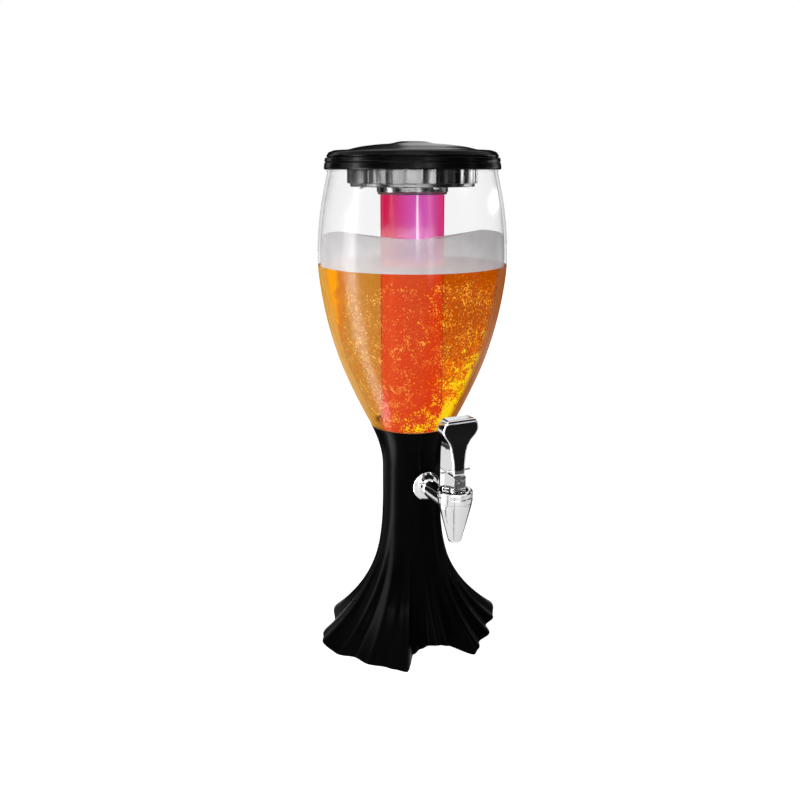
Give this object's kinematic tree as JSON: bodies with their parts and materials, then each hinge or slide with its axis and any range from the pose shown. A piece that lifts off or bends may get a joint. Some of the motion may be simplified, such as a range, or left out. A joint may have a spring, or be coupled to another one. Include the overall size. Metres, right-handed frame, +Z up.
{
  "type": "beer tower dispenser",
  "caption": "Table-top drink tower: clear tapered bowl with a lit ice tube hung from a domed black lid, on a draped black base with a chrome lever tap.",
  "frame": {"origin": "middle of the bounding box's footprint, on the counter under the tower", "axes": "+Z up, -Y towards the user, where the tap points, +X to the user's right as they face the tap"},
  "size_m": [0.1968, 0.1986, 0.4898],
  "materials": {
    "black_gloss_plastic": "gloss black",
    "clear_plastic": "clear",
    "chrome_plating": "polished",
    "plated_steel": "plated",
    "black_rubber": "matte",
    "white_silicone": "satin",
    "green_board": "solder mask",
    "light_emitting_diode": "clear tinted",
    "battery_sleeve": "plain sleeve",
    "satin_black_plastic": "satin black"
  },
  "bodies": {
    "tower": {"base_shell": "black_gloss_plastic", "vessel": "clear_plastic", "tap_flange": "chrome_plating", "tap_washer": "black_rubber", "tap_gasket": "white_silicone", "tap_nut": "plated_steel", "tap_body": "chrome_plating", "collar_nut": "chrome_plating", "bonnet": "chrome_plating", "light_housing": "black_gloss_plastic", "light_lens": "clear_plastic", "circuit_board": "green_board", "led_1": "light_emitting_diode", "led_2": "light_emitting_diode", "led_3": "light_emitting_diode", "led_4": "light_emitting_diode", "battery_1": "battery_sleeve", "battery_2": "battery_sleeve", "battery_3": "battery_sleeve", "upper_contact": "plated_steel", "housing_screw_1": "plated_steel", "housing_screw_2": "plated_steel", "housing_screw_3": "plated_steel"},
    "lid": {"lid_cover": "black_gloss_plastic", "lid_seal": "black_rubber", "tube_holder": "black_gloss_plastic", "tube_cap": "black_gloss_plastic", "holder_screw_1": "plated_steel", "holder_screw_2": "plated_steel", "holder_screw_3": "plated_steel"},
    "tube": {"ice_tube": "clear_plastic", "tube_seal": "white_silicone"},
    "plunger": {"plunger": "plated_steel", "plunger_seal": "white_silicone", "lever_pin": "plated_steel"},
    "lever": {"lever": "chrome_plating", "lever_insert": "satin_black_plastic"},
    "cover": {"battery_cover": "black_gloss_plastic", "lower_contact": "plated_steel"},
    "button": {"switch_button": "black_rubber"}
  },
  "joints": [
    {"name": "lid_lift", "type": "slide", "parent": "tower", "child": "lid", "axis": [0, 0, 1], "range_m": [0, 0.28]},
    {"name": "tube_twist", "type": "hinge", "parent": "lid", "child": "tube", "pos_m": [0, 0.00774, 0.4433], "axis": [0, 0, 1], "range_deg": [0, 30]},
    {"name": "plunger_lift", "type": "slide", "parent": "tower", "child": "plunger", "axis": [0, 0, 1], "range_m": [0, 0.0035]},
    {"name": "lever_tilt", "type": "hinge", "parent": "plunger", "child": "lever", "pos_m": [0, -0.08326, 0.1965], "axis": [1, 0, 0], "range_deg": [0, 30], "stiffness_Nm_per_rad": 0.5, "springref_deg": -5.73},
    {"name": "cover_twist", "type": "hinge", "parent": "tower", "child": "cover", "pos_m": [0, 0.00774, 0.0541], "axis": [0, 0, 1], "range_deg": [0, 35]},
    {"name": "switch_press", "type": "slide", "parent": "cover", "child": "button", "axis": [0, 0, 1], "range_m": [0, 0.0012], "stiffness_N_per_m": 300, "springref_m": -0.0005}
  ],
  "couplings": [
    {"joint": "plunger_lift", "follows": "lever_tilt", "m_per_rad": 0.00668}
  ]
}
